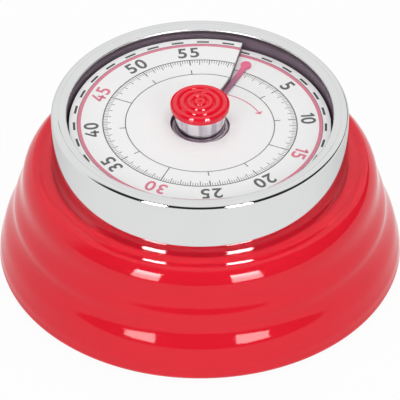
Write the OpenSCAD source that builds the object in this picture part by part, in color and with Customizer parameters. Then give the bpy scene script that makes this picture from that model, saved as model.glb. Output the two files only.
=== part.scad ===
// Wind-up kitchen timer: a rippled bell-shaped steel body with a chromed bezel,
// a ramped sixty-minute dial, a mushroom knob and a clockwork alarm movement.
// Millimetres, +Z up, origin on the table under the dial's centre, dial zero towards +Y.

/* [Body] */
// Largest radius of the body, at its lower edge
body_r = 36; // [35:0.5:40]
// Distance that the shoulder stands out beyond the bezel
shoulder_over = 5.1; // [4.9:0.05:6.5]
// Height at which the shoulder starts to round over
shoulder_z = 18; // [17.6:0.2:19]
// Radius of the shoulder's rounding
shoulder_round = 5.8; // [5.4:0.2:6.2]
// Depth of the upper ripple round the body
upper_dip = 0.24; // [0:0.02:0.4]
// Depth of the lower ripple round the body
lower_dip = 0.22; // [0:0.02:0.4]
// Swell of the body between the lower ripple and the lower edge
swell = 0.3; // [0:0.02:0.4]
// Radius of the rolled lower edge
edge_round = 1.1; // [0.9:0.1:1.4]
// Height of the lower edge above the table
edge_z = 0.3; // [0.2:0.1:0.6]
// Radius of the ridge round the bezel's seat
ridge_round = 1; // [0.9:0.1:1.4]
// Depth of the hollow between the ridge and the bezel
seat_dip = 0.2; // [0.1:0.05:0.5]
// Height of the bezel's seat over the ridge
seat_rise = 0.05; // [0:0.05:0.2]
// Thickness of the body's steel sheet
body_wall = 0.8; // [0.5:0.1:0.9]
// Height of the neck inside the bezel
neck_h = 3.6; // [2.5:0.1:4.5]

/* [Bezel] */
// Outer radius of the bezel
bezel_r = 26.5; // [26.2:0.05:26.7]
// Height of the bezel
bezel_h = 11.4; // [11:0.2:14]
// Thickness of the bezel's wall
bezel_wall = 0.9; // [0.7:0.1:1]
// Width of the flare at the bezel's foot
bezel_flare = 0.1; // [0:0.05:0.3]
// Height of that flare
flare_h = 4; // [2:0.5:6]
// Radius of the bezel's rounded top edge
bezel_round = 0.9; // [0.5:0.1:1.2]
// Thickness of the lip over the dial
lip_t = 1.45; // [1.2:0.05:1.6]
// Fall of the lip towards the dial
lip_drop = 0.45; // [0.3:0.05:0.9]
// Distance that the lip stands in over the dark ring
lip_over = 0.05; // [0.05:0.05:0.4]
// Wall of the dark ring inside the bezel
surround_wall = 1.75; // [1.6:0.05:2]

/* [Dial] */
// Depth of the dial's low end under the bezel's top
dial_depth = 3.5; // [3.4:0.1:4.2]
// Height that the dial climbs in one turn
dial_rise = 1.45; // [1.1:0.05:1.6]
// Thickness of the dial's sheet
dial_t = 0.4; // [0.3:0.05:0.5]
// Radius of the dial's centre hole
dial_hole_r = 5.3; // [5.2:0.05:5.6]
// Angle of the dial's slit before its zero, at the dial's edge
slit_angle = 6.8; // [5:0.1:9]
// Radius at which the slit bends and goes on beside the pointer
slit_bend_r = 13.5; // [10:0.25:16]
// Gap between the slit and the pointer's root
slit_gap = 0.3; // [0.25:0.05:0.6]
// Gap between the dial and the dark ring
dial_gap = 0.5; // [0.2:0.05:0.6]
// Thickness of the disc under the dial
dial_base_t = 0.8; // [0.6:0.1:1]
// Thickness of the wall under the dial's high end
step_t = 0.8; // [0.5:0.1:1.2]
// Radius of each post under the dial
dial_post_r = 1; // [0.8:0.1:1.1]

/* [Knob and pointer] */
// Radius of the knob's cap
knob_r = 5.28; // [4.9:0.02:6]
// Height of the knob's cap
knob_h = 1.6; // [1.4:0.1:2.4]
// Height of the knob's underside over the bezel's top
knob_rise = 1; // [0.6:0.1:2]
// Radius of the knob's stem
stem_r = 4.5; // [4.3:0.05:4.6]
// Radius of the pointer's head, from the dial's centre
pointer_reach = 19.2; // [14:0.1:20]
// Width of the pointer at its root
pointer_w = 0.6; // [0.5:0.05:0.8]
// Radius of the pointer's round head
pointer_head_r = 0.7; // [0.6:0.05:0.9]
// Thickness of the pointer
pointer_t = 0.25; // [0.2:0.01:0.3]
// Height of the pointer over the ramp
pointer_air = 0.24; // [0.15:0.01:0.3]

/* [Base] */
// Height of the rubber ring that the timer stands on
foot_h = 1.2; // [1:0.1:1.4]
// Distance of the rubber ring from the base plate's edge
foot_inset = 1.75; // [1:0.25:4]
// Width of the rubber ring
foot_w = 3; // [2:0.25:4]
// Thickness of the base plate
base_t = 1.5; // [1.2:0.1:1.8]
// Height of the base plate's underside
base_z = 0.7; // [0.6:0.05:0.8]
// Radius of the magnet
magnet_r = 12; // [9:0.5:13]
// Radius of the magnet's centre hole
magnet_hole_r = 3; // [2:0.5:4]
// Thickness of the magnet
magnet_t = 2.2; // [1.6:0.1:2.4]
// Thickness of the magnet's steel cup
yoke_t = 0.8; // [0.6:0.1:0.9]
// Radius of each boss that carries the movement
boss_r = 2.6; // [2.2:0.1:3]

/* [Movement plates] */
// Radius of the two movement plates
plate_r = 26.5; // [26.2:0.1:27]
// Thickness of the back plate
back_t = 1; // [0.8:0.1:1.1]
// Thickness of the front plate
front_t = 0.8; // [0.7:0.1:0.9]
// Height of the back plate's underside
back_z = 6; // [5.8:0.1:6.2]
// Clear height between the plates
plate_gap = 10; // [9.8:0.1:10.2]
// Radius of each pillar
pillar_r = 1.5; // [1.3:0.05:1.6]
// Distance of the pillars from the plates' edge
pillar_inset = 2; // [1.9:0.05:2.1]
// Radius of the screws' threads
screw_r = 0.8; // [0.6:0.05:0.9]
// Radius of the screws' heads
screw_head_r = 1.5; // [1.2:0.1:1.8]
// Height of the screws' heads
screw_head_h = 0.8; // [0.6:0.05:0.9]
// Length of the screws' thread in a pillar
screw_grip = 3; // [2:0.25:4]

/* [Gear train] */
// Tooth size of the main wheel and its pinion
main_module = 0.4; // [0.395:0.005:0.405]
// Teeth of the main wheel
main_teeth = 72; // [70:1:74]
// Teeth of the pinion that the main wheel drives
main_pinion_teeth = 12; // [10:1:12]
// Tooth size of the faster wheels and pinions
fast_module = 0.35; // [0.345:0.005:0.355]
// Teeth of the second and third wheels
fast_teeth = 50; // [46:1:50]
// Teeth of the third and escape pinions
fast_pinion_teeth = 10; // [10:1:11]
// Flank angle of all teeth
tooth_flank = 25; // [24:0.5:26]
// Play between meshing teeth
tooth_play = 0.1; // [0.06:0.01:0.14]
// Thickness of the main wheel
main_t = 1.2; // [1:0.1:1.3]
// Thickness of the faster wheels
fast_t = 0.8; // [0.6:0.05:0.9]
// Radius of the main wheel's lightening holes
main_hole_r = 2; // [1.5:0.1:2.4]
// Distance of those holes' centres inside the main wheel's pitch circle
main_hole_inset = 4; // [3.5:0.1:4.5]
// Radius of the faster wheels' lightening holes
fast_hole_r = 1.8; // [1.4:0.1:1.9]
// Distance of those holes' centres inside the faster wheels' pitch circle
fast_hole_inset = 3.5; // [3.2:0.1:3.6]
// Radius of the main arbor
main_arbor_r = 1.5; // [1.3:0.05:1.6]
// Radius of the thinner arbors
arbor_r = 0.9; // [0.8:0.05:1]
// Radius of the thinner arbors' pivots
pivot_r = 0.6; // [0.5:0.05:0.7]
// Angle of the second arbor round the plates
second_angle = 20; // [15:1:25]

/* [Escapement] */
// Tip radius of the escape wheel
escape_r = 5; // [4.6:0.1:5.1]
// Teeth of the escape wheel
escape_teeth = 20; // [15:1:24]
// Distance from the escape wheel to the pallet lever
pallet_distance = 7.2; // [7.1:0.1:7.6]
// Distance from the pallet lever to the balance
balance_distance = 7; // [6.9:0.1:7.4]
// Outer radius of the balance wheel
balance_r = 5.5; // [5:0.1:5.6]
// Width of the balance wheel's rim
balance_rim = 0.9; // [0.6:0.1:1.2]
// Height of the balance wheel's rim
balance_t = 1.2; // [1:0.1:1.3]
// Distance of the impulse pin from the balance's axis
impulse_r = 2.4; // [2.2:0.1:2.6]
// Radius of the pallet pins and the impulse pin
pin_r = 0.3; // [0.25:0.01:0.35]

/* [Springs] */
// Thickness of the mainspring's strip
mainspring_t = 0.25; // [0.2:0.01:0.3]
// Width of the mainspring's strip
mainspring_w = 4.8; // [4:0.1:4.8]
// Turns of the mainspring
mainspring_turns = 6; // [4:1:6]
// Outer radius of the mainspring
mainspring_r = 7; // [6.4:0.1:7.1]
// Thickness of the fine springs' strip
hair_t = 0.12; // [0.1:0.01:0.16]
// Width of the fine springs' strip
hair_w = 0.5; // [0.4:0.05:0.6]
// Turns of the fine springs
hair_turns = 4; // [3:1:5]

/* [Alarm] */
// Gap between the bell and the dial's posts
bell_gap = 1.2; // [0.8:0.05:1.4]
// Thickness of the bell's metal
bell_t = 0.7; // [0.5:0.1:0.9]
// Rounding of the bell's crown
bell_round = 3; // [2:0.25:3.5]
// Height of the bell's rim over the front plate
bell_lift = 1.7; // [1.5:0.1:2]
// Radius of the bell's bush
bush_r = 3.4; // [3.2:0.1:4]
// Radius of the bush's thread inside the bell
bush_spigot_r = 2.5; // [2.2:0.1:2.8]
// Width of the bush's flange on the front plate
bush_flange = 1.1; // [0.8:0.1:1.5]
// Thickness of the bush's flange
bush_flange_t = 1; // [0.8:0.1:1.2]
// Height of the bell's nut
nut_t = 1; // [0.8:0.1:1.1]
// Width of the bell's nut round its thread
nut_over = 1.9; // [1.5:0.1:2.5]
// Radius of the alarm cam
cam_r = 5.5; // [5:0.1:6]
// Thickness of the alarm cam
cam_t = 1; // [0.8:0.1:1.1]
// Radius of the hammer's head
hammer_r = 1.6; // [1.4:0.1:1.7]
// Height of the hammer's head
hammer_h = 3; // [2.5:0.1:3.5]
// Angle of the hammer's arbor round the plates
hammer_angle = 230; // [225:1:235]
// Gap between the hammer's head and the bell at rest
hammer_air = 0.8; // [0.7:0.05:1]

/* [Fits] */
// Radial play of a shaft in its bearing
run_fit = 0.05; // [0.02:0.01:0.08]
// Gap between fixed pieces that slip together
slip_fit = 0.05; // [0.02:0.01:0.08]
// Gap between pieces that move past each other
air = 0.35; // [0.3:0.01:0.4]

/* [Hidden] */
$fn = 96;

// Small sizes shared by several pieces
fine_step = 0.15;
cut_over = 1;

// Body profile
edge_top_z = edge_z + edge_round;
shoulder_r = bezel_r + shoulder_over;
side_h = shoulder_z - edge_top_z;
taper = (body_r - shoulder_r) / side_h;
shoulder_tilt = atan(taper);
ridge_angle = 46;
side_step = 0.6;
shoulder_c = [shoulder_r, shoulder_z] - shoulder_round * [cos(shoulder_tilt), sin(shoulder_tilt)];
ridge_c = shoulder_c + (shoulder_round - ridge_round) * [cos(ridge_angle), sin(ridge_angle)];
ridge_top = ridge_c + [0, ridge_round];
bezel_z = ridge_top[1] + seat_rise;
bezel_foot_r = bezel_r + bezel_flare;
seat_flat_r = bezel_foot_r + 0.3;
neck_r = bezel_r - bezel_wall - slip_fit;
neck_top = bezel_z + neck_h;
bezel_top = bezel_z + bezel_h;
lip_z = bezel_top - lip_t;
surround_r = bezel_r - bezel_wall - slip_fit;
surround_in = surround_r - surround_wall;
lip_r = surround_in - lip_over;

// Dial, pointer and knob
dial_z = bezel_top - dial_depth;
dial_r = surround_in - dial_gap;
dial_base_top = dial_z - dial_t;
dial_base_z = dial_base_top - dial_base_t;
slit_out = pointer_w / 2 + slit_gap;
// Plan of the slit: beside the pointer up to its bend, then outward to the dial's edge
slit_stops = [
    [dial_hole_r, asin(slit_out / dial_hole_r)],
    [slit_bend_r, asin(slit_out / slit_bend_r)],
    [dial_r, slit_angle]
];
pointer_z = dial_z + dial_rise * slit_angle / 360 + pointer_air;
pointer_collar_r = dial_hole_r - air;
pointer_collar_h = 0.6;
knob_z = bezel_top + knob_rise;
knob_rim_h = 1.2;
stem_z = dial_base_z - 0.6;
stem_bore_top = knob_z - 2;

// Movement heights
back_top = back_z + back_t;
front_z = back_top + plate_gap;
front_top = front_z + front_t;
main_z = back_top + 1;
ratchet_t = 0.6;
ratchet_z = main_z + main_t + slip_fit;
second_z = main_z + main_t + 1;
third_z = second_z + fast_t + 0.9;
escape_z = third_z + fast_t + 0.9;
balance_z = escape_z + fast_t + 0.5;
mainspring_z = ratchet_z + ratchet_t + 0.3;
cam_z = mainspring_z + mainspring_w + 0.5;
hair_z = balance_z + balance_t + 0.3;
pinion_over = 0.4;
arbor_shoulder = 0.2;
pivot_over = 0.2;

// Gear sizes and the places of the arbors round the plates
tooth_add = 0.75;
tooth_ded = 1;
main_pitch_r = main_module * main_teeth / 2;
main_pinion_r = main_module * main_pinion_teeth / 2;
fast_pitch_r = fast_module * fast_teeth / 2;
fast_pinion_r = fast_module * fast_pinion_teeth / 2;
train_r = main_pitch_r + main_pinion_r;
fast_distance = fast_pitch_r + fast_pinion_r;
function chord_angle(d) = 2 * asin(d / 2 / train_r);
third_angle = second_angle + chord_angle(fast_distance);
escape_angle = third_angle + chord_angle(fast_distance);
pallet_angle = escape_angle + chord_angle(pallet_distance);
balance_angle = pallet_angle + chord_angle(balance_distance);
function polar(r, a) = r * [cos(a), sin(a)];
second_p = polar(train_r, second_angle);
third_p = polar(train_r, third_angle);
escape_p = polar(train_r, escape_angle);
pallet_p = polar(train_r, pallet_angle);
balance_p = polar(train_r, balance_angle);
hammer_p = polar(train_r, hammer_angle);
function heading(p, q) = atan2(q[1] - p[1], q[0] - p[0]);

// Phase of a gear that meshes with another whose tooth points along rot
function mesh_phase(n1, rot, n2, dir) = dir + 180 - 360 / n2 * (0.5 - (dir - rot) * n1 / 360);
main_phase = 0;
second_pinion_phase = mesh_phase(main_teeth, main_phase, main_pinion_teeth, second_angle);
second_phase = 0;
third_pinion_phase = mesh_phase(fast_teeth, second_phase, fast_pinion_teeth, heading(second_p, third_p));
third_phase = 0;
escape_pinion_phase = mesh_phase(fast_teeth, third_phase, fast_pinion_teeth, heading(third_p, escape_p));

// Pillars, posts and screws
pillar_place_r = plate_r - pillar_inset;
pillar_angles = [95, 215, 335];
dial_post_place_r = surround_in - dial_post_r - 0.1;
dial_post_angles = [35, 155, 275];
thread_bore_r = screw_r + slip_fit;

// Base
base_r = body_r - edge_round - 0.15;
foot_r = base_r - foot_inset;
yoke_r = magnet_r + 0.1 + yoke_t;
magnet_z = 0.4;
yoke_z = magnet_z + 0.2;
yoke_top = magnet_z + magnet_t + slip_fit + yoke_t;
magnet_boss_r = yoke_r + 1.7;
magnet_boss_top = yoke_top + slip_fit + 1;

// Ratchet on the main wheel
ratchet_teeth = 16;
ratchet_r = 4.4;
ratchet_tooth = 0.6;

// Pallet lever: its pins stay clear of the escape wheel through the lever's whole swing
pallet_pin_ring = escape_r + pin_r + 0.8;
pallet_spread = 52;
fork_slot = 2 * pin_r + 0.4;
fork_prong = 0.5;
function pallet_pin_p(side) =
    escape_p + polar(pallet_pin_ring, heading(escape_p, pallet_p) + side * pallet_spread);

// Springs and their posts
spring_hub_r = main_arbor_r + 0.5;
spring_post_r = 0.7;
spring_end_angle = 200;
spring_post_place_r = mainspring_r + mainspring_t / 2 + 0.1 + spring_post_r;
hair_in_r = arbor_r + 0.2;
hair_out_r = 3;
stud_r = 0.4;
stud_place_r = hair_out_r + hair_t / 2 + 0.1 + stud_r;
hammer_hair_z = second_z + 1;

// Alarm
bell_r = dial_post_place_r - dial_post_r - bell_gap;
bell_z = front_top + bell_lift;
bell_top = dial_base_z - nut_t - 1.1;
hammer_arm_z = front_top + air;
hammer_arm_t = 0.8;
lever_w = 1.6;
lever_t = 0.8;
hammer_head_place_r = bell_r - bell_t - hammer_air - hammer_r;
hammer_head_p = polar(hammer_head_place_r, hammer_angle + 27.6);
lever_tip_p = polar(cam_r + air + lever_w / 2, hammer_angle);
lever_notch_w = lever_w + 1;

// Colours as the finished timer has them
red = [0.89, 0.1, 0.14];
chrome = [0.86, 0.87, 0.88];
steel = [0.62, 0.63, 0.65];
brass = [0.78, 0.62, 0.3];
dark = [0.2, 0.15, 0.18];

// Ripples of the side: share of the way down it, and distance from the straight cone
ripples = [
    [0, 0], [0.18, -upper_dip], [0.36, 0],
    [0.47, -lower_dip], [0.735, swell], [0.88, 0.87 * swell], [1, 0]
];
function ease(a, b, t) = a + (b - a) * (1 - cos(180 * t)) / 2;
function ripple(share) =
    let (i = max([for (k = [0:len(ripples) - 2]) ripples[k][0] <= share ? k : 0]),
         a = ripples[i],
         b = ripples[i + 1])
    ease(a[1], b[1], (share - a[0]) / (b[0] - a[0]));

// Outer surface of the body, moved in by t
function side_r(z) =
    let (down = shoulder_z - z)
    shoulder_r + taper * down + ripple(down / side_h);
function body_profile(t) = concat(
    [for (a = [-90:15:0])
        [body_r - edge_round + max(edge_round - t, 0.1) * cos(a),
         edge_top_z + max(edge_round - t, 0.1) * sin(a)]],
    [for (z = [edge_top_z + side_step:side_step:shoulder_z - side_step / 2]) [side_r(z) - t, z]],
    [for (i = [0:12])
        let (a = shoulder_tilt + (ridge_angle - shoulder_tilt) * i / 12)
        shoulder_c + (shoulder_round - t) * [cos(a), sin(a)]],
    [for (i = [1:5])
        let (a = ridge_angle + (90 - ridge_angle) * i / 5)
        ridge_c + max(ridge_round - t, 0.05) * [cos(a), sin(a)]],
    [for (i = [1:10])
        [ridge_top[0] + (seat_flat_r - ridge_top[0]) * i / 10,
         ridge_top[1] + seat_rise * i / 10 - seat_dip * (1 - cos(36 * i)) / 2 - t]]
);

// Involute tooth flanks, from the root circle to the tip circle
function involute(a) = tan(a) * 180 / PI - a;
function half_tooth(n, m, r) =
    90 / n - tooth_play / (m * n / 2) * 45 / PI + involute(tooth_flank)
    - involute(acos(min(1, m * n / 2 * cos(tooth_flank) / r)));
function gear_points(n, m) =
    let (pitch = m * n / 2,
         root = pitch - tooth_ded * m,
         start = max(root, pitch * cos(tooth_flank)),
         tip = pitch + tooth_add * m,
         flank = [for (i = [0:3]) start + (tip - start) * i / 3])
    [for (k = [0:n - 1]) each concat(
        [polar(root, k * 360 / n - half_tooth(n, m, start))],
        [for (r = flank) polar(r, k * 360 / n - half_tooth(n, m, r))],
        [for (i = [3:-1:0]) polar(flank[i], k * 360 / n + half_tooth(n, m, flank[i]))],
        [polar(root, k * 360 / n + half_tooth(n, m, start))])];

module gear(n, m, t, phase) {
    rotate(phase) linear_extrude(t) polygon(gear_points(n, m));
}

// A flat wheel with a bore and a ring of lightening holes
module train_wheel(n, m, t, bore, holes, hole_r, hole_place_r, phase) {
    difference() {
        gear(n, m, t, phase);
        translate([0, 0, -cut_over]) cylinder(r = bore, h = t + 2 * cut_over);
        for (k = [0:holes - 1])
            rotate(k * 360 / holes) translate([hole_place_r, 0, -cut_over])
                cylinder(r = hole_r, h = t + 2 * cut_over);
    }
}

// An arbor between the plates, with a thinner pivot at each end
module plain_arbor(p) {
    translate([p[0], p[1], back_top + arbor_shoulder])
        cylinder(r = arbor_r, h = plate_gap - 2 * arbor_shoulder);
    translate([p[0], p[1], back_z - pivot_over])
        cylinder(r = pivot_r, h = plate_gap + back_t + front_t + 2 * pivot_over);
}

module pinion_arbor(p, n, m, z, t, phase) {
    plain_arbor(p);
    translate([p[0], p[1], z - pinion_over]) gear(n, m, t + 2 * pinion_over, phase);
}

// A bar of width w between two points, at height z
module bar(p, q, w, z, t) {
    translate([p[0], p[1], z]) rotate(heading(p, q)) translate([0, -w / 2, 0]) cube([norm(q - p), w, t]);
}

module hub(p, r, bore, z, t) {
    translate([p[0], p[1], z]) difference() {
        cylinder(r = r, h = t);
        translate([0, 0, -cut_over]) cylinder(r = bore, h = t + 2 * cut_over);
    }
}

// A strip wound in a flat spiral whose outer end points along end_angle
module flat_spiral(r_in, r_out, turns, t, w, end_angle) {
    steps = turns * 28;
    function at(i, side) =
        polar(r_in + (r_out - r_in) * i / steps + side * t / 2, end_angle - 360 * turns * (1 - i / steps));
    linear_extrude(w) polygon(concat(
        [for (i = [0:steps]) at(i, 1)],
        [for (i = [steps:-1:0]) at(i, -1)]));
}

module at_pillars() {
    for (a = pillar_angles) rotate(a) translate([pillar_place_r, 0, 0]) children();
}

module plate_blank(z, t) {
    translate([0, 0, z]) cylinder(r = plate_r, h = t);
}

module plate_holes(z, t) {
    low = z - cut_over;
    tall = t + 2 * cut_over;
    translate([0, 0, low]) cylinder(r = main_arbor_r + run_fit, h = tall);
    for (p = [second_p, third_p, escape_p, pallet_p, balance_p])
        translate([p[0], p[1], low]) cylinder(r = pivot_r + run_fit, h = tall);
    at_pillars() translate([0, 0, low]) cylinder(r = thread_bore_r, h = tall);
}

module body_shell() {
    color(red) rotate_extrude() polygon(concat(
        body_profile(0),
        [[neck_r, bezel_z], [neck_r, neck_top],
         [neck_r - body_wall, neck_top], [neck_r - body_wall, bezel_z - body_wall]],
        [for (i = [len(body_profile(0)) - 1:-1:0]) body_profile(body_wall)[i]]));
}

module bezel_ring() {
    line_r = bezel_r - bezel_round - 0.3;
    color(chrome) rotate_extrude() polygon(concat(
        [[bezel_r - bezel_wall, bezel_z]],
        [for (i = [0:5])
            [bezel_r + bezel_flare * pow(1 - i / 5, 2), bezel_z + flare_h * i / 5]],
        [for (a = [0:10:90])
            [bezel_r - bezel_round + bezel_round * cos(a), bezel_top - bezel_round + bezel_round * sin(a)]],
        [[line_r, bezel_top], [line_r - fine_step / 2, bezel_top - fine_step],
         [line_r - fine_step, bezel_top], [lip_r + fine_step, bezel_top - lip_drop],
         [lip_r, bezel_top - lip_drop - fine_step], [lip_r, lip_z], [bezel_r - bezel_wall, lip_z]]));
}

module dial_surround() {
    color(dark) translate([0, 0, neck_top]) difference() {
        cylinder(r = surround_r, h = lip_z - neck_top);
        translate([0, 0, -cut_over]) cylinder(r = surround_in, h = lip_z - neck_top + 2 * cut_over);
    }
}

// The dial's sheet climbs clockwise from the slit through one full turn
module dial_plate() {
    steps = 72;
    rim = 2 * len(slit_stops);
    function corner(i, stop, drop) =
        let (a = 90 + stop[1] - 360 * i / steps)
        [stop[0] * cos(a), stop[0] * sin(a), dial_z + dial_rise * i / steps - drop];
    points = [for (i = [0:steps]) each concat(
        [for (k = [0:len(slit_stops) - 1]) corner(i, slit_stops[k], 0)],
        [for (k = [len(slit_stops) - 1:-1:0]) corner(i, slit_stops[k], dial_t)])];
    sides = [for (i = [0:steps - 1]) for (k = [0:rim - 1])
        let (a = rim * i + k, b = rim * i + (k + 1) % rim)
        each [[a, a + rim, b], [b, a + rim, b + rim]]];
    last = rim * steps;
    ends = [for (f = [[0, 1, 4], [0, 4, 5], [1, 2, 3], [1, 3, 4]])
        each [f, [last + f[0], last + f[2], last + f[1]]]];
    color("white") polyhedron(points, concat(sides, ends));
}

// A disc under the dial, with a wall up to the dial's high end along the slit
module dial_base() {
    step_h = dial_base_t + dial_rise - 2 * slip_fit;
    line = [for (stop = slit_stops) polar(stop[0] - slip_fit, 90 + stop[1]) - [slip_fit, 0]];
    color(dark) translate([0, 0, dial_base_z]) {
        difference() {
            cylinder(r = dial_r, h = dial_base_t);
            translate([0, 0, -cut_over]) cylinder(r = stem_r + air, h = dial_base_t + 2 * cut_over);
        }
        linear_extrude(step_h) polygon(concat(
            line, [for (k = [len(line) - 1:-1:0]) line[k] - [step_t, 0]]));
    }
}

module dial_posts() {
    color(steel) for (a = dial_post_angles)
        rotate(a) translate([dial_post_place_r, 0, front_top])
            cylinder(r = dial_post_r, h = dial_base_z - front_top);
}

// A mushroom cap with a straight rim and round beads pressed into its low dome
module knob_cap() {
    beads = 4;
    bead_h = 0.34;
    bead_steps = 12;
    rim_edge = 0.12;
    rim_top = knob_rim_h - 0.2;
    dome_h = knob_h - knob_rim_h;
    top_r = knob_r - 0.16;
    pitch = top_r / beads;
    color(red) translate([0, 0, knob_z]) rotate_extrude() polygon(concat(
        [[0, 0], [knob_r - rim_edge, 0], [knob_r, rim_edge],
         [knob_r, rim_top - rim_edge], [knob_r - rim_edge, rim_top]],
        [for (k = [beads - 1:-1:0]) for (i = [0:bead_steps])
            let (turn = 168 - 156 * i / bead_steps, r = (k + 0.5 - 0.5 * cos(turn)) * pitch)
            [r, knob_rim_h + dome_h * (1 - pow(r / top_r, 2)) - bead_h * (1 - sin(turn))]],
        [[0, knob_h - bead_h]]));
}

module knob_stem() {
    color(chrome) translate([0, 0, stem_z]) difference() {
        cylinder(r = stem_r, h = knob_z - stem_z);
        translate([0, 0, -cut_over])
            cylinder(r = main_arbor_r + slip_fit, h = stem_bore_top - stem_z + cut_over);
    }
}

// The collar slides on the stem, so that the pointer on it climbs with the dial
module pointer_collar() {
    color(dark) translate([0, 0, pointer_z - pointer_collar_h]) difference() {
        cylinder(r = pointer_collar_r, h = pointer_collar_h);
        translate([0, 0, -cut_over]) cylinder(r = stem_r + run_fit, h = pointer_collar_h + 2 * cut_over);
    }
}

module pointer() {
    root_r = stem_r + run_fit + 0.1;
    color([0.85, 0.2, 0.32]) {
        translate([0, 0, pointer_z]) linear_extrude(pointer_t) polygon([
            [-pointer_w / 2, root_r], [pointer_w / 2, root_r],
            [pointer_head_r * 0.8, pointer_reach], [-pointer_head_r * 0.8, pointer_reach]]);
        translate([0, pointer_reach, pointer_z]) cylinder(r = pointer_head_r, h = pointer_t);
    }
}

module base_plate() {
    bore_r = screw_r + slip_fit;
    color(dark) difference() {
        union() {
            translate([0, 0, base_z]) cylinder(r = base_r, h = base_t);
            translate([0, 0, base_z]) cylinder(r = magnet_boss_r, h = magnet_boss_top - base_z);
            at_pillars() translate([0, 0, base_z]) cylinder(r = boss_r, h = back_z - base_z);
        }
        translate([0, 0, base_z - cut_over])
            cylinder(r = yoke_r + slip_fit, h = yoke_top + slip_fit - base_z + cut_over);
        translate([0, 0, base_z - cut_over]) difference() {
            cylinder(r = foot_r + slip_fit, h = foot_h - base_z + cut_over);
            cylinder(r = foot_r - foot_w - slip_fit, h = foot_h - base_z + cut_over);
        }
        at_pillars() {
            translate([0, 0, base_z - cut_over]) cylinder(r = bore_r, h = back_z - base_z + 2 * cut_over);
            translate([0, 0, base_z - cut_over])
                cylinder(r = screw_head_r + 0.2, h = screw_head_h + fine_step + cut_over);
        }
    }
}

module foot_ring() {
    color([0.12, 0.12, 0.12]) difference() {
        cylinder(r = foot_r, h = foot_h);
        translate([0, 0, -cut_over]) cylinder(r = foot_r - foot_w, h = foot_h + 2 * cut_over);
    }
}

module magnet_yoke() {
    color(steel) translate([0, 0, yoke_z]) difference() {
        cylinder(r = yoke_r, h = yoke_top - yoke_z);
        translate([0, 0, -cut_over]) cylinder(r = yoke_r - yoke_t, h = yoke_top - yoke_z - yoke_t + cut_over);
    }
}

module magnet() {
    color([0.25, 0.25, 0.27]) translate([0, 0, magnet_z]) difference() {
        cylinder(r = magnet_r, h = magnet_t);
        translate([0, 0, -cut_over]) cylinder(r = magnet_hole_r, h = magnet_t + 2 * cut_over);
    }
}

// Long screws run up through the base plate's bosses into the pillars
module base_screws() {
    head_z = base_z + fine_step;
    color(steel) at_pillars() {
        translate([0, 0, head_z]) cylinder(r = screw_head_r, h = screw_head_h);
        translate([0, 0, head_z]) cylinder(r = screw_r, h = back_top + screw_grip - head_z);
    }
}

module back_plate() {
    color(brass) difference() {
        plate_blank(back_z, back_t);
        plate_holes(back_z, back_t);
        translate([hammer_p[0], hammer_p[1], back_z - cut_over])
            cylinder(r = pivot_r + run_fit, h = back_t + 2 * cut_over);
    }
}

module front_plate() {
    color(brass) difference() {
        plate_blank(front_z, front_t);
        plate_holes(front_z, front_t);
        translate([hammer_p[0], hammer_p[1], front_z - cut_over])
            cylinder(r = arbor_r + run_fit, h = front_t + 2 * cut_over);
    }
}

module pillars() {
    color(steel) at_pillars() translate([0, 0, back_top]) difference() {
        cylinder(r = pillar_r, h = plate_gap);
        translate([0, 0, -cut_over]) cylinder(r = thread_bore_r, h = plate_gap + 2 * cut_over);
    }
}

module pillar_screws() {
    color(steel) at_pillars() {
        translate([0, 0, front_top]) cylinder(r = screw_head_r, h = screw_head_h);
        translate([0, 0, front_z - screw_grip])
            cylinder(r = screw_r, h = screw_grip + front_t + screw_head_h / 2);
    }
}

module main_arbor() {
    color(steel) {
        translate([0, 0, back_z - 0.3]) cylinder(r = main_arbor_r, h = stem_bore_top - 0.1 - back_z + 0.3);
        translate([0, 0, mainspring_z]) cylinder(r = spring_hub_r, h = mainspring_w);
    }
}

module main_wheel() {
    color(brass) translate([0, 0, main_z])
        train_wheel(main_teeth, main_module, main_t, main_arbor_r + slip_fit,
            5, main_hole_r, main_pitch_r - main_hole_inset, main_phase);
}

// Saw teeth on the winding arbor
module ratchet_wheel() {
    color(steel) translate([0, 0, ratchet_z]) difference() {
        linear_extrude(ratchet_t) polygon([for (k = [0:ratchet_teeth - 1]) each [
            polar(ratchet_r, k * 360 / ratchet_teeth),
            polar(ratchet_r - ratchet_tooth, k * 360 / ratchet_teeth + 1)]]);
        translate([0, 0, -cut_over]) cylinder(r = main_arbor_r + slip_fit, h = ratchet_t + 2 * cut_over);
    }
}

// The click is riveted to the main wheel and points at a tooth of the ratchet
module click() {
    pivot_p = polar(ratchet_r + 1.9, 118);
    nose_p = polar(ratchet_r + 0.35, 90);
    color(steel) {
        translate([pivot_p[0], pivot_p[1], ratchet_z]) cylinder(r = 0.8, h = ratchet_t);
        bar(pivot_p, nose_p, 0.5, ratchet_z, ratchet_t);
    }
}

module mainspring() {
    color([0.35, 0.38, 0.45]) translate([0, 0, mainspring_z])
        flat_spiral(spring_hub_r + 0.1 + mainspring_t / 2, mainspring_r, mainspring_turns,
            mainspring_t, mainspring_w, spring_end_angle);
}

module spring_post() {
    p = polar(spring_post_place_r, spring_end_angle);
    color(steel) translate([p[0], p[1], mainspring_z])
        cylinder(r = spring_post_r, h = front_z - mainspring_z);
}

// A disc whose notch faces the stop lever when the knob is at zero
module alarm_cam() {
    color(brass) translate([0, 0, cam_z]) difference() {
        cylinder(r = cam_r, h = cam_t);
        translate([0, 0, -cut_over]) cylinder(r = main_arbor_r + slip_fit, h = cam_t + 2 * cut_over);
        rotate(hammer_angle) translate([cam_r - 1, -lever_notch_w / 2, -cut_over])
            cube([2, lever_notch_w, cam_t + 2 * cut_over]);
    }
}

module second_arbor() {
    color(steel) pinion_arbor(second_p, main_pinion_teeth, main_module, main_z, main_t, second_pinion_phase);
}

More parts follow.
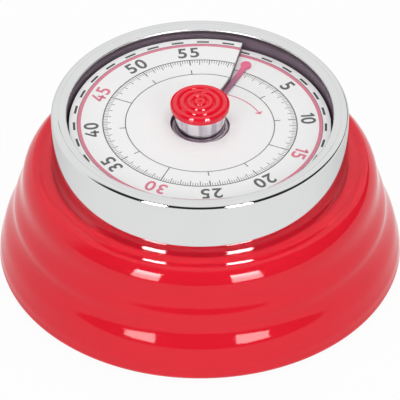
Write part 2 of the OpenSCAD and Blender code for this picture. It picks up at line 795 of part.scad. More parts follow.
module second_wheel() {
    color(brass) translate([second_p[0], second_p[1], second_z])
        train_wheel(fast_teeth, fast_module, fast_t, arbor_r + slip_fit,
            4, fast_hole_r, fast_pitch_r - fast_hole_inset, second_phase);
}

module third_arbor() {
    color(steel) pinion_arbor(third_p, fast_pinion_teeth, fast_module, second_z, fast_t, third_pinion_phase);
}

module third_wheel() {
    color(brass) translate([third_p[0], third_p[1], third_z])
        train_wheel(fast_teeth, fast_module, fast_t, arbor_r + slip_fit,
            4, fast_hole_r, fast_pitch_r - fast_hole_inset, third_phase);
}

module escape_arbor() {
    color(steel) pinion_arbor(escape_p, fast_pinion_teeth, fast_module, third_z, fast_t, escape_pinion_phase);
}

module escape_wheel() {
    root_r = escape_r - 1.1;
    lean = 4;
    color(brass) translate([escape_p[0], escape_p[1], escape_z]) difference() {
        linear_extrude(fast_t) polygon([for (k = [0:escape_teeth - 1]) each [
            polar(root_r, k * 360 / escape_teeth - lean),
            polar(escape_r, k * 360 / escape_teeth + lean),
            polar(root_r, k * 360 / escape_teeth + lean)]]);
        translate([0, 0, -cut_over]) cylinder(r = arbor_r + slip_fit, h = fast_t + 2 * cut_over);
    }
}

module pallet_arbor() {
    color(steel) plain_arbor(pallet_p);
}

// Two arms carry pins beside the escape wheel, and a fork holds the impulse pin
module pallet_lever() {
    to_balance = heading(pallet_p, balance_p);
    fork_end = balance_distance - impulse_r + pin_r + 0.3;
    fork_start = fork_end - 1.6;
    color(steel) difference() {
        union() {
            translate([pallet_p[0], pallet_p[1], escape_z]) cylinder(r = 1.6, h = fast_t);
            for (side = [-1, 1]) {
                bar(pallet_p, pallet_pin_p(side), 0.7, escape_z, fast_t);
                translate([pallet_pin_p(side)[0], pallet_pin_p(side)[1], escape_z - 0.3])
                    cylinder(r = pin_r, h = fast_t + 0.6);
            }
            bar(pallet_p, pallet_p + polar(fork_end, to_balance), fork_slot + 2 * fork_prong,
                escape_z, fast_t);
        }
        translate([pallet_p[0], pallet_p[1], escape_z - cut_over])
            cylinder(r = arbor_r + slip_fit, h = fast_t + 2 * cut_over);
        translate([pallet_p[0], pallet_p[1], escape_z - cut_over]) rotate(to_balance)
            translate([fork_start, -fork_slot / 2, 0]) cube([fork_end, fork_slot, fast_t + 2 * cut_over]);
    }
}

module balance_staff() {
    color(steel) plain_arbor(balance_p);
}

module balance_wheel() {
    pin_p = balance_p + polar(impulse_r, heading(balance_p, pallet_p));
    spoke = balance_r - balance_rim / 2;
    color(brass) {
        hub(balance_p, balance_r, balance_r - balance_rim, balance_z, balance_t);
        hub(balance_p, arbor_r + 0.8, arbor_r + slip_fit, balance_z, balance_t);
        for (a = [0, 180])
            bar(balance_p + polar(arbor_r + 0.4, heading(balance_p, pallet_p) + a),
                balance_p + polar(spoke, heading(balance_p, pallet_p) + a), 1, balance_z, balance_t / 2);
        translate([pin_p[0], pin_p[1], escape_z])
            cylinder(r = pin_r, h = balance_z - escape_z + balance_t / 4);
    }
}

module hairspring() {
    color([0.35, 0.38, 0.45]) translate([balance_p[0], balance_p[1], hair_z])
        flat_spiral(hair_in_r, hair_out_r, hair_turns, hair_t, hair_w, balance_angle);
}

module hairspring_stud() {
    p = balance_p + polar(stud_place_r, balance_angle);
    color(steel) translate([p[0], p[1], hair_z]) cylinder(r = stud_r, h = front_z - hair_z);
}

module hammer_arbor() {
    color(steel) {
        translate([hammer_p[0], hammer_p[1], back_top + arbor_shoulder])
            cylinder(r = arbor_r, h = hammer_arm_z + hammer_arm_t - back_top - arbor_shoulder);
        translate([hammer_p[0], hammer_p[1], back_z - pivot_over])
            cylinder(r = pivot_r, h = back_t + pivot_over + 2 * arbor_shoulder);
    }
}

// The lever follows the cam's edge and lets the hammer go at the notch
module stop_lever() {
    color(steel) difference() {
        union() {
            translate([hammer_p[0], hammer_p[1], cam_z]) cylinder(r = 1.8, h = lever_t);
            bar(hammer_p, lever_tip_p, lever_w - 0.4, cam_z, lever_t);
            translate([lever_tip_p[0], lever_tip_p[1], cam_z]) cylinder(r = lever_w / 2, h = lever_t);
        }
        translate([hammer_p[0], hammer_p[1], cam_z - cut_over])
            cylinder(r = arbor_r + slip_fit, h = lever_t + 2 * cut_over);
    }
}

module hammer_arm() {
    color(steel) difference() {
        union() {
            translate([hammer_p[0], hammer_p[1], hammer_arm_z]) cylinder(r = 1.8, h = hammer_arm_t);
            bar(hammer_p, hammer_head_p, 1.4, hammer_arm_z, hammer_arm_t);
            translate([hammer_head_p[0], hammer_head_p[1], hammer_arm_z]) cylinder(r = 1.2, h = hammer_arm_t);
        }
        translate([hammer_p[0], hammer_p[1], hammer_arm_z - cut_over])
            cylinder(r = arbor_r + slip_fit, h = hammer_arm_t + 2 * cut_over);
    }
}

module hammer_head() {
    color(brass) translate([hammer_head_p[0], hammer_head_p[1], hammer_arm_z + hammer_arm_t])
        cylinder(r = hammer_r, h = hammer_h);
}

module hammer_spring() {
    color([0.35, 0.38, 0.45]) translate([hammer_p[0], hammer_p[1], hammer_hair_z])
        flat_spiral(hair_in_r, hair_out_r, hair_turns, hair_t, hair_w, hammer_angle);
}

module hammer_spring_stud() {
    p = hammer_p + polar(stud_place_r, hammer_angle);
    color(steel) translate([p[0], p[1], back_top])
        cylinder(r = stud_r, h = hammer_hair_z + hair_w - back_top);
}

module bell() {
    inner_round = bell_round - bell_t;
    arc_c = [bell_r - bell_round, bell_top - bell_round];
    color(chrome) rotate_extrude() polygon(concat(
        [[bell_r - bell_t, bell_z], [bell_r, bell_z]],
        [for (a = [0:10:90]) arc_c + bell_round * [cos(a), sin(a)]],
        [[bush_spigot_r + slip_fit, bell_top], [bush_spigot_r + slip_fit, bell_top - bell_t]],
        [for (a = [90:-10:0]) arc_c + inner_round * [cos(a), sin(a)]]));
}

// A stepped bush on the front plate carries the bell round the main arbor
module bell_bush() {
    bore_r = main_arbor_r + 0.1;
    flange_r = bush_r + bush_flange;
    seat_z = bell_top - bell_t;
    color(brass) rotate_extrude() polygon([
        [bore_r, front_top], [flange_r, front_top], [flange_r, front_top + bush_flange_t],
        [bush_r, front_top + bush_flange_t], [bush_r, seat_z], [bush_spigot_r, seat_z],
        [bush_spigot_r, bell_top + nut_t], [bore_r, bell_top + nut_t]]);
}

module bell_nut() {
    color(steel) translate([0, 0, bell_top]) difference() {
        cylinder(r = bush_spigot_r + nut_over, h = nut_t, $fn = 6);
        translate([0, 0, -cut_over])
            cylinder(r = bush_spigot_r + slip_fit, h = nut_t + 2 * cut_over, $fn = 96);
    }
}

body_shell();
bezel_ring();
dial_surround();
dial_plate();
dial_base();
dial_posts();
knob_cap();
knob_stem();
pointer_collar();
pointer();
base_plate();
foot_ring();
magnet_yoke();
magnet();
base_screws();
back_plate();
front_plate();
pillars();
pillar_screws();
main_arbor();
main_wheel();
ratchet_wheel();
click();
mainspring();
spring_post();
alarm_cam();
second_arbor();
second_wheel();
third_arbor();
third_wheel();
escape_arbor();
escape_wheel();
pallet_arbor();
pallet_lever();
balance_staff();
balance_wheel();
hairspring();
hairspring_stud();
hammer_arbor();
stop_lever();
hammer_arm();
hammer_head();
hammer_spring();
hammer_spring_stud();
bell();
bell_bush();
bell_nut();
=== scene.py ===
import math

import bpy
from mathutils import Matrix, Vector


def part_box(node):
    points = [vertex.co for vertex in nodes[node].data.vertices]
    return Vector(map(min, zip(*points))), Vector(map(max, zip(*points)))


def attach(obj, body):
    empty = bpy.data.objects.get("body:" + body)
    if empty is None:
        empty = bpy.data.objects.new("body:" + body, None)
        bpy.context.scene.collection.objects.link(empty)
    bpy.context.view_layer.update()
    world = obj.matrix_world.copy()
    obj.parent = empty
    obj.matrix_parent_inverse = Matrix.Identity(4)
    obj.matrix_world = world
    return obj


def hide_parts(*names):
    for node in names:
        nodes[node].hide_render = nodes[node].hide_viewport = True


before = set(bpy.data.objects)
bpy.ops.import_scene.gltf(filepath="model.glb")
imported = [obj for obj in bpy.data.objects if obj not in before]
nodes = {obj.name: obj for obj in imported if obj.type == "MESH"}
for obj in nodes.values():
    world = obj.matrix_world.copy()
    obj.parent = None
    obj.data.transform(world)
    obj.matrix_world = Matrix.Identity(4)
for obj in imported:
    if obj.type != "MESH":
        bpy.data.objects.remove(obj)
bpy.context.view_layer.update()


# Base plate: a disc of black plastic that closes the body from below. It is injection moulded,
# so it has an eroded grain and faint rings from the turned tool. Three long screws hold it.
MM = 0.001


class Tone:
    """A value in a material's nodes. A sum written on it adds the Math nodes for that sum."""

    def __init__(self, tree, socket):
        self.tree = tree
        self.socket = socket

    def node(self, kind, settings, sockets, out=0):
        made = self.tree.nodes.new(kind)
        for name, setting in settings.items():
            setattr(made, name, setting)
        for name, value in sockets.items():
            if isinstance(value, Tone):
                self.tree.links.new(value.socket, made.inputs[name])
            else:
                made.inputs[name].default_value = value
        return Tone(self.tree, made.outputs[out])

    def math(self, operation, *terms):
        return self.node("ShaderNodeMath", {"operation": operation}, dict(enumerate(terms)))

    def __add__(self, other):
        return self.math("ADD", self, other)

    def __radd__(self, other):
        return self.math("ADD", other, self)

    def __sub__(self, other):
        return self.math("SUBTRACT", self, other)

    def __rsub__(self, other):
        return self.math("SUBTRACT", other, self)

    def __mul__(self, other):
        return self.math("MULTIPLY", self, other)

    def __rmul__(self, other):
        return self.math("MULTIPLY", other, self)

    def __truediv__(self, other):
        return self.math("DIVIDE", self, other)

    def __lt__(self, other):
        return self.math("LESS_THAN", self, other)

    def __gt__(self, other):
        return self.math("GREATER_THAN", self, other)

    def __or__(self, other):
        return self.math("MAXIMUM", self, other)

    def __abs__(self):
        return self.math("ABSOLUTE", self)

    def fold(self, half):
        return self.math("PINGPONG", self, half)

    def mix(self, off, on):
        return self.node("ShaderNodeMix", {"data_type": "RGBA"}, {0: self, 6: off, 7: on}, 2)

    def axis(self, name):
        return self.node("ShaderNodeSeparateXYZ", {}, {"Vector": self}, name)

    def stretch(self, by):
        return self.node("ShaderNodeVectorMath", {"operation": "MULTIPLY"}, {0: self, 1: by})

    def radius(self):
        flat = self.stretch((1, 1, 0))
        return flat.node("ShaderNodeVectorMath", {"operation": "LENGTH"}, {0: flat}, "Value")

    def grain(self, scale, detail):
        sockets = {"Vector": self, "Scale": scale, "Detail": detail}
        return self.node("ShaderNodeTexNoise", {}, sockets, "Fac")

    def lines(self, scale):
        sockets = {"W": self, "Scale": scale, "Detail": 2}
        return self.node("ShaderNodeTexNoise", {"noise_dimensions": "1D"}, sockets, "Fac")


def source(tree, kind, out):
    return Tone(tree, tree.nodes.new(kind).outputs[out])


def new_finish(name, look):
    material = bpy.data.materials.new(name)
    material.use_nodes = True
    tree = material.node_tree
    for socket, value in look.items():
        tree.nodes["Principled BSDF"].inputs[socket].default_value = value
    return material, source(tree, "ShaderNodeTexCoord", "Object")


def paint(socket, tone):
    tone.tree.links.new(tone.socket, tone.tree.nodes["Principled BSDF"].inputs[socket])


def relief(height, depth_mm):
    sockets = {"Height": height, "Distance": depth_mm * MM}
    paint("Normal", height.node("ShaderNodeBump", {}, sockets, "Normal"))


def dress(finish, *names):
    for name in names:
        for slot in nodes[name].material_slots:
            slot.material = finish


moulded_black, place = new_finish("moulded_black", {"IOR": 1.5})
tool_rings = place.radius().lines(2500)
eroded = place.grain(5200, 3)
paint("Base Color", eroded.mix((0.012, 0.011, 0.012, 1), (0.030, 0.028, 0.029, 1)))
paint("Roughness", 0.42 + eroded * 0.2 + tool_rings * 0.08)
relief(eroded + tool_rings * 0.6, 0.012)
dress(moulded_black, "base_plate")


# Rubber ring: the timer stands on it. It is pressed from black rubber with soft edges and three
# fine grooves on the standing face, and sits glued in the base plate's groove.
weld, crease = 0.001 * MM, math.radians(32)


def arc(centre, radius, start, end, count):
    turn = [math.radians(start + (end - start) * i / count) for i in range(count + 1)]
    return [(centre[0] + radius * math.cos(a), centre[1] + radius * math.sin(a)) for a in turn]


def lathe(name, outline, steps, closed=True):
    bpy.ops.object.select_all(action="DESELECT")
    bpy.ops.mesh.primitive_plane_add(size=MM)
    bpy.ops.object.mode_set(mode="EDIT")
    bpy.ops.mesh.merge(type="CENTER")
    bpy.ops.transform.translate(value=(outline[0][0] * MM, 0, outline[0][1] * MM))
    ends = outline[1:] + outline[:1] if closed else outline[1:]
    for (r0, z0), (r1, z1) in zip(outline, ends):
        step = ((r1 - r0) * MM, 0, (z1 - z0) * MM)
        bpy.ops.mesh.extrude_region_move(TRANSFORM_OT_translate={"value": step})
    bpy.ops.mesh.select_all(action="SELECT")
    bpy.ops.mesh.remove_doubles(threshold=weld)
    bpy.ops.mesh.spin(steps=steps, angle=2 * math.pi, center=(0, 0, 0), axis=(0, 0, 1))
    bpy.ops.mesh.select_all(action="SELECT")
    bpy.ops.mesh.remove_doubles(threshold=weld)
    bpy.ops.mesh.normals_make_consistent(inside=False)
    bpy.ops.object.mode_set(mode="OBJECT")
    bpy.ops.object.shade_smooth_by_angle(angle=crease)
    piece = bpy.context.object
    piece.name = piece.data.name = name
    return piece


def fit(piece, finish, slot, body, *replaced):
    piece.data.materials.clear()
    piece.data.materials.append(finish)
    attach(piece, body)
    if replaced:
        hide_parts(*replaced)


low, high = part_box("foot_ring")
foot_out, foot_top, foot_w = high.x / MM - 0.02, high.z / MM, 2.96
foot_in = foot_out - foot_w
sole_round, top_round = 0.3, 0.1
groove_half, floor_half, groove_depth = 0.14, 0.07, 0.1
foot_outline = arc((foot_in + sole_round, sole_round), sole_round, 180, 270, 5)
for groove in (0.9, 1.5, 2.1):
    at = foot_in + groove
    foot_outline += [(at - groove_half, 0), (at - floor_half, groove_depth)]
    foot_outline += [(at + floor_half, groove_depth), (at + groove_half, 0)]
foot_outline += arc((foot_out - sole_round, sole_round), sole_round, 270, 360, 5)
foot_outline += arc((foot_out - top_round, foot_top - top_round), top_round, 0, 90, 3)
foot_outline += arc((foot_in + top_round, foot_top - top_round), top_round, 90, 180, 3)
foot_ring = lathe("rubber_foot", foot_outline, 128)

pressed_rubber, place = new_finish("pressed_rubber", {"IOR": 1.45})
speckle = place.grain(1800, 4)
dust = place.grain(260, 3)
paint("Base Color", speckle.mix((0.016, 0.016, 0.016, 1), (0.036, 0.035, 0.034, 1)))
paint("Roughness", 0.66 + dust * 0.22)
relief(speckle, 0.01)
fit(foot_ring, pressed_rubber, "rubber", "case", "foot_ring")


# Magnet and its cup: a ring of pressed ferrite in a zinc-plated steel cup, set in the base plate
# so that the timer holds on a steel door. The ferrite is matt and grainy, the cup drawn sheet.
ferrite, place = new_finish("pressed_ferrite", {"IOR": 1.6})
pores = place.grain(2600, 5)
paint("Base Color", pores.mix((0.030, 0.030, 0.033, 1), (0.085, 0.083, 0.086, 1)))
paint("Roughness", 0.55 + pores * 0.25)
relief(pores, 0.016)
dress(ferrite, "magnet")

zinc_plate, place = new_finish("zinc_plate", {"Metallic": 1})
drawn = place.axis("Z").lines(9000)
bloom = place.grain(420, 4)
paint("Base Color", bloom.mix((0.56, 0.57, 0.58, 1), (0.70, 0.71, 0.72, 1)))
paint("Roughness", 0.24 + drawn * 0.12 + bloom * 0.08)
relief(drawn, 0.003)
dress(zinc_plate, "magnet_yoke")


# Base screws: three long slotted screws that run up through the base plate's bosses into the
# pillars. They are turned from steel and zinc plated, with a cut thread on the shank.
low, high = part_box("base_screws")
head_z, thread_end = low.z / MM, high.z / MM
head_r, head_h, head_round, shank_r, tip_taper = 1.5, 0.8, 0.2, 0.8, 0.3
slot_size, screw_ring_r, half_pitch = (4, 0.42, 0.8), 24.5, 0.175 * MM
head_low = head_z + 0.02
screw_outline = [(0, head_low)]
screw_outline += arc((head_r - head_round, head_low + head_round), head_round, 270, 360, 4)
screw_outline += [(head_r, head_z + head_h), (shank_r, head_z + head_h)]
screw_outline += [(shank_r, thread_end - tip_taper), (shank_r - tip_taper, thread_end)]
screw_outline.append((0, thread_end))
screw = lathe("screw", screw_outline, 48, closed=False)
bpy.ops.object.select_all(action="DESELECT")
bpy.ops.mesh.primitive_cube_add(size=MM, location=(0, 0, head_z * MM))
slot_cutter = bpy.context.object
slot_cutter.scale = slot_size
bpy.ops.object.transform_apply(location=True, rotation=True, scale=True)
bpy.context.view_layer.objects.active = screw
cut = screw.modifiers.new("slot", "BOOLEAN")
cut.object = slot_cutter
cut.operation = "DIFFERENCE"
bpy.ops.object.modifier_apply(modifier=cut.name)
bpy.data.objects.remove(slot_cutter)
screws = []
for angle, slot_turn in ((95, 20), (215, 75), (335, 140)):
    copy = screw.copy()
    copy.data = screw.data.copy()
    bpy.context.collection.objects.link(copy)
    at = math.radians(angle)
    copy.matrix_world = (
        Matrix.Translation((screw_ring_r * MM * math.cos(at), screw_ring_r * MM * math.sin(at), 0))
        @ Matrix.Rotation(math.radians(slot_turn), 4, "Z")
    )
    screws.append(copy)
bpy.data.objects.remove(screw)


def join(pieces, name):
    bpy.ops.object.select_all(action="DESELECT")
    for piece in pieces:
        piece.select_set(True)
    bpy.context.view_layer.objects.active = pieces[0]
    bpy.ops.object.transform_apply(location=True, rotation=True, scale=True)
    if len(pieces) > 1:
        bpy.ops.object.join()
    joined = bpy.context.object
    joined.name = joined.data.name = name
    return joined


plated_screw, place = new_finish("plated_screw", {"Metallic": 1})
thread = place.axis("Z").fold(half_pitch) / half_pitch
past_head = place.axis("Z") > (head_z + head_h) * MM
haze = place.grain(900, 3)
paint("Base Color", haze.mix((0.50, 0.51, 0.53, 1), (0.66, 0.67, 0.69, 1)))
paint("Roughness", 0.22 + haze * 0.18)
relief(thread * past_head, 0.08)
fit(join(screws, "base_screw_set"), plated_screw, "steel", "case", "base_screws")


# Movement frame: two brass plates stamped from sheet and brushed one way, held apart by turned
# pillars with steel screws. Posts on the front plate carry the dial's base.
def brass_finish(name, brush):
    finish, place = new_finish(name, {"Metallic": 1})
    brushed = place.stretch(brush).grain(1, 3)
    tarnish = place.grain(180, 4)
    paint("Base Color", tarnish.mix((0.60, 0.42, 0.15, 1), (0.76, 0.57, 0.26, 1)))
    paint("Roughness", 0.22 + brushed * 0.16 + tarnish * 0.06)
    relief(brushed, 0.004)
    return finish


def steel_finish(name, brush, dark, light):
    finish, place = new_finish(name, {"Metallic": 1})
    ground = place.stretch(brush).grain(1, 3)
    oil = place.grain(300, 3)
    paint("Base Color", oil.mix(dark, light))
    paint("Roughness", 0.18 + ground * 0.16 + oil * 0.05)
    relief(ground, 0.003)
    return finish


along_x, round_z = (260, 7000, 260), (120, 120, 9000)
plate_brass = brass_finish("plate_brass", along_x)
dress(plate_brass, "back_plate", "front_plate")
turned_brass = brass_finish("turned_brass", round_z)
dress(turned_brass, "pillars")
dark_steel, light_steel = (0.44, 0.45, 0.47, 1), (0.62, 0.63, 0.65, 1)
turned_steel = steel_finish("turned_steel", round_z, dark_steel, light_steel)
dress(turned_steel, "pillar_screws", "dial_posts")


# Drive: the main arbor carries the main wheel, and a ratchet and click let the knob wind the
# mainspring. The wheel is stamped brass, the ratchet and click hardened steel.
wheel_brass = brass_finish("wheel_brass", (5200, 420, 420))
dress(wheel_brass, "main_wheel")
dress(turned_steel, "main_arbor", "spring_post")
hard_dark, hard_light = (0.34, 0.35, 0.37, 1), (0.52, 0.53, 0.55, 1)
hardened_steel = steel_finish("hardened_steel", (3000, 3000, 600), hard_dark, hard_light)
dress(hardened_steel, "ratchet_wheel", "click")


# Springs: strips of spring steel, rolled, wound and tempered blue. The mainspring drives the
# train, the hairspring times the balance, and the third one holds the hammer back.
tempered_blue, place = new_finish("tempered_blue", {"Metallic": 1})
rolled = place.axis("Z").lines(12000)
temper = place.grain(240, 3)
paint("Base Color", temper.mix((0.05, 0.08, 0.22, 1), (0.16, 0.15, 0.30, 1)))
paint("Roughness", 0.2 + rolled * 0.16)
relief(rolled, 0.002)
dress(tempered_blue, "mainspring", "hairspring", "hammer_spring")


# Train and escapement: brass wheels on steel arbors with cut pinions, then the pin pallet and
# the balance that time them. The wheels are stamped, the arbors turned and polished.
dress(wheel_brass, "second_wheel", "third_wheel", "escape_wheel", "balance_wheel")
bright_dark, bright_light = (0.56, 0.57, 0.58, 1), (0.70, 0.71, 0.72, 1)
polished_steel = steel_finish("polished_steel", (160, 160, 5200), bright_dark, bright_light)
dress(
    polished_steel, "second_arbor", "third_arbor", "escape_arbor", "pallet_arbor", "balance_staff"
)
dress(hardened_steel, "pallet_lever")
dress(turned_brass, "hairspring_stud")


# Alarm: a cam on the main arbor frees the stop lever at zero, and the hammer strikes the bell
# from inside. The bell is drawn steel with bright nickel, on a brass bush with a steel nut.
dress(hardened_steel, "alarm_cam", "stop_lever", "hammer_arm")
dress(polished_steel, "hammer_arbor", "bell_nut")
dress(turned_brass, "hammer_head", "hammer_spring_stud", "bell_bush")
bell_nickel, place = new_finish("bell_nickel", {"Metallic": 1})
spun = place.radius().lines(4000)
breath = place.grain(160, 3)
paint("Base Color", breath.mix((0.62, 0.60, 0.56, 1), (0.72, 0.70, 0.66, 1)))
paint("Roughness", 0.1 + spun * 0.08 + breath * 0.05)
relief(spun, 0.002)
dress(bell_nickel, "bell")


# Body shell: a bell of drawn sheet steel with soft ripples round its side, a rolled lower edge
# and a dished seat for the bezel. It is fired in glossy red enamel inside and out.
body_r, shoulder_r, shoulder_z, shoulder_round = 35.98, 31.6, 18, 5.8
edge_round, edge_z, ridge_round, ridge_angle, body_wall = 1.1, 0.3, 1, 46, 0.8
edge_top = edge_z + edge_round
side_h = shoulder_z - edge_top
taper = (body_r - shoulder_r) / side_h
tilt = math.degrees(math.atan(taper))
shoulder_c = arc((shoulder_r, shoulder_z), -shoulder_round, tilt, tilt, 1)[0]
ridge_c = arc(shoulder_c, shoulder_round - ridge_round, ridge_angle, ridge_angle, 1)[0]
ridge_top = (ridge_c[0], ridge_c[1] + ridge_round)
seat_r, seat_dip, seat_rise, neck_r, neck_h = 26.9, 0.2, 0.05, 25.55, 3.6
bezel_z = ridge_top[1] + seat_rise
neck_top = bezel_z + neck_h
side_steps, seat_steps, least_round = 64, 14, 0.05
# Each ripple: its share of the way down the side, and how far it stands out.
ripples = ((0, 0), (0.18, -0.24), (0.36, 0), (0.47, -0.22), (0.735, 0.3), (0.88, 0.26), (1, 0))


def side_r(down):
    for (start, first), (end, last) in zip(ripples, ripples[1:]):
        if down <= end:
            ease = (1 - math.cos(math.pi * (down - start) / (end - start))) / 2
            return shoulder_r + taper * side_h * down + first + (last - first) * ease


def body_outline(inset):
    outline = arc((body_r - edge_round, edge_top), edge_round - inset, -90, 0, 10)
    for i in range(1, side_steps):
        up = i / side_steps
        outline.append((side_r(1 - up) - inset, edge_top + side_h * up))
    outline += arc(shoulder_c, shoulder_round - inset, tilt, ridge_angle, 18)
    outline += arc(ridge_c, max(ridge_round - inset, least_round), ridge_angle, 90, 10)[1:]
    for i in range(1, seat_steps + 1):
        way = i / seat_steps
        hollow = seat_dip * (1 - math.cos(2 * math.pi * way)) / 2
        out = ridge_top[0] + (seat_r - ridge_top[0]) * way
        outline.append((out, ridge_top[1] + seat_rise * way - hollow - inset))
    return outline


shell_outline = body_outline(0) + [(neck_r, bezel_z), (neck_r, neck_top)]
shell_outline += [(neck_r - body_wall, neck_top), (neck_r - body_wall, bezel_z - body_wall)]
shell_outline += body_outline(body_wall)[::-1]
body_shell = lathe("enamelled_body", shell_outline, 240)

red_enamel, place = new_finish("red_enamel", {"IOR": 1.52, "Specular IOR Level": 0.28})
flow = place.grain(150, 2)
peel = place.grain(620, 2)
smudge = place.grain(90, 4)
paint("Base Color", flow.mix((0.765, 0.0115, 0.028, 1), (0.805, 0.0135, 0.032, 1)))
paint("Roughness", 0.035 + smudge * 0.05)
relief(peel, 0.0035)
fit(body_shell, red_enamel, "red_enamel", "case", "body_shell")


# Bezel: a ring drawn from sheet steel, with a rounded top edge, a fine line rolled round it and
# a lip that holds the dial. It is chromed and polished, but satin on the lip's cut edge, and is
# pressed over the body's neck.
low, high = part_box("bezel_ring")
flare, flare_h, flare_steps, bezel_low, bezel_top = 0.1, 4, 16, low.z / MM, high.z / MM
bezel_r = high.x / MM - flare - 0.01
bezel_round, bezel_wall, foot_round = 0.9, 0.9, 0.1
lip_r, lip_nose, lip_drop, lip_under = 23.75, 0.25, 0.35, bezel_top - 0.9
line_r = bezel_r - bezel_round - 0.3
foot_r = bezel_r + flare
# The rolled line, from outside in: how far across from its radius, and how deep.
rolled_line = ((0.03, 0), (-0.03, 0.04), (-0.08, 0.075), (-0.13, 0.045), (-0.19, 0.03))
bezel_outline = [(bezel_r - bezel_wall, bezel_low)]
bezel_outline += arc((foot_r - foot_round, bezel_low + foot_round), foot_round, 270, 355, 4)
for i in range(1, flare_steps + 1):
    up = i / flare_steps
    bezel_outline.append((bezel_r + flare * (1 - up) ** 2, bezel_low + flare_h * up))
bezel_outline.append((bezel_r, bezel_top - bezel_round - 0.1))
bezel_outline += arc((bezel_r - bezel_round, bezel_top - bezel_round), bezel_round, 0, 90, 24)
bezel_outline += [(line_r + across, bezel_top - deep) for across, deep in rolled_line]
nose_c = (lip_r + lip_nose, bezel_top - lip_drop - lip_nose)
bezel_outline += arc(nose_c, lip_nose, 106, 235, 14)
bezel_outline.append((bezel_r - bezel_wall, lip_under))
bezel_ring = lathe("chromed_bezel", bezel_outline, 240)


def soft_step(value, start, end):
    sockets = {"Value": value, "From Min": start, "From Max": end}
    return value.node("ShaderNodeMapRange", {"interpolation_type": "SMOOTHSTEP"}, sockets, "Result")


chrome_look = {"Metallic": 1, "Specular Tint": (0.72, 0.72, 0.72, 1)}
polished_chrome, place = new_finish("polished_chrome", chrome_look)
buffed = place.stretch((900, 900, 5200)).grain(1, 2)
veil = place.grain(120, 4)
cut_edge = 1 - soft_step(place.radius(), (lip_r + 0.12) * MM, (lip_r + 0.3) * MM)
paint("Base Color", veil.mix((0.70, 0.705, 0.71, 1), (0.745, 0.748, 0.75, 1)))
paint("Roughness", 0.03 + veil * 0.03 + buffed * 0.015 + cut_edge * 0.28)
relief(buffed, 0.0004)
fit(bezel_ring, polished_chrome, "chrome", "case", "bezel_ring")


# Surround and dial base: a dark plum plastic ring lines the bezel between its lip and the dial,
# and a mauve plastic disc lies under the dial, with a wall under the dial's high end. Both are
# moulded, with a satin face.
low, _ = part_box("dial_surround")
wall_out, wall_in, wall_low, wall_top = 25.53, 23.8, low.z / MM, lip_under - 0.02
# The step under the lip: how far back from the wall's face, and how far down from its top.
wall_step = ((0.25, 0), (0.25, 0.55), (0.1, 0.65), (0.02, 0.75))
wall_outline = [(wall_out, wall_low), (wall_out, wall_top)]
wall_outline += [(wall_in + back, wall_top - down) for back, down in wall_step]
wall_outline.append((wall_in, wall_low))
dial_wall = lathe("dial_wall", wall_outline, 240)

dark_satin, place = new_finish("dark_satin_plastic", {"IOR": 1.5})
streak = place.stretch((60, 60, 3600)).grain(1, 2)
cloud = place.grain(500, 3)
# Painted shadow: the ring darkens to near black towards its top, for the shade under the lip.
painted_lip_shadow = soft_step(place.axis("Z"), (wall_top - 1.1) * MM, (wall_top - 0.1) * MM)
plum = cloud.mix((0.165, 0.118, 0.155, 1), (0.21, 0.155, 0.20, 1))
paint("Base Color", painted_lip_shadow.mix(plum, (0.030, 0.014, 0.024, 1)))
paint("Roughness", 0.3 + streak * 0.15)
relief(streak + cloud * 0.4, 0.006)
fit(dial_wall, dark_satin, "dark_plastic", "case", "dial_surround")

mauve_satin, place = new_finish("mauve_satin_plastic", {"IOR": 1.5})
mould_skin = place.grain(500, 3)
paint("Base Color", mould_skin.mix((0.22, 0.125, 0.17, 1), (0.28, 0.17, 0.22, 1)))
paint("Roughness", 0.3 + mould_skin * 0.15)
relief(mould_skin, 0.003)
dress(mauve_satin, "dial_base")


# Dial: a thin white plastic sheet slit from its hole to its edge beside zero. It climbs clockwise
# from the slit through one turn. Its scales are printed, and it lies on the dial base.
dial_hole, dial_r, dial_z, dial_t, dial_rise = 5.3, 23.28, 28.917, 0.4, 1.45
# The bent slit, from the hole out: the radius, and the degrees left of the pointer.
slit_stops = ((dial_hole, 6.5), (13.5, 2.55), (dial_r, 6.8))


def select_edges(piece, chosen):
    for vertex in piece.data.vertices:
        vertex.select = chosen(vertex.co)
    for edge in piece.data.edges:
        edge.select = all(piece.data.vertices[v].select for v in edge.vertices)


bpy.ops.object.select_all(action="DESELECT")
bpy.ops.mesh.primitive_plane_add(size=MM)
dial_plate = bpy.context.object
dial_plate.name = dial_plate.data.name = "printed_dial"
bpy.ops.object.mode_set(mode="EDIT")
bpy.ops.mesh.delete(type="ONLY_FACE")
bpy.ops.mesh.select_all(action="SELECT")
bpy.ops.transform.resize(value=(dial_r - dial_hole, dial_t, 1), center_override=(0, 0, 0))
bpy.ops.mesh.subdivide(number_cuts=1)
bpy.ops.object.mode_set(mode="OBJECT")
upright = math.radians(90)
dial_plate.matrix_world = (
    Matrix.Rotation(upright, 4, "Z")
    @ Matrix.Translation(((dial_r + dial_hole) / 2 * MM, 0, (dial_z - dial_t / 2) * MM))
    @ Matrix.Rotation(upright, 4, "X")
)
bpy.ops.object.transform_apply(location=True, rotation=True, scale=True)
for i, (stop_r, stop_angle) in enumerate(slit_stops):
    was_r, at = dial_hole + (dial_r - dial_hole) * i / 2, math.radians(stop_angle)
    select_edges(dial_plate, lambda co: abs(math.hypot(co.x, co.y) - was_r * MM) < 0.05 * MM)
    bpy.ops.object.mode_set(mode="EDIT")
    shift = (-stop_r * math.sin(at) * MM, (stop_r * math.cos(at) - was_r) * MM, 0)
    bpy.ops.transform.translate(value=shift)
    bpy.ops.object.mode_set(mode="OBJECT")
climb = dial_plate.modifiers.new("climb", "SCREW")
climb.axis = "Z"
climb.angle = -2 * math.pi
climb.screw_offset = dial_rise * MM
climb.steps = climb.render_steps = 360
bpy.ops.object.modifier_apply(modifier=climb.name)
bpy.ops.object.mode_set(mode="EDIT")
bpy.ops.mesh.select_all(action="SELECT")
bpy.ops.mesh.fill_holes(sides=12)
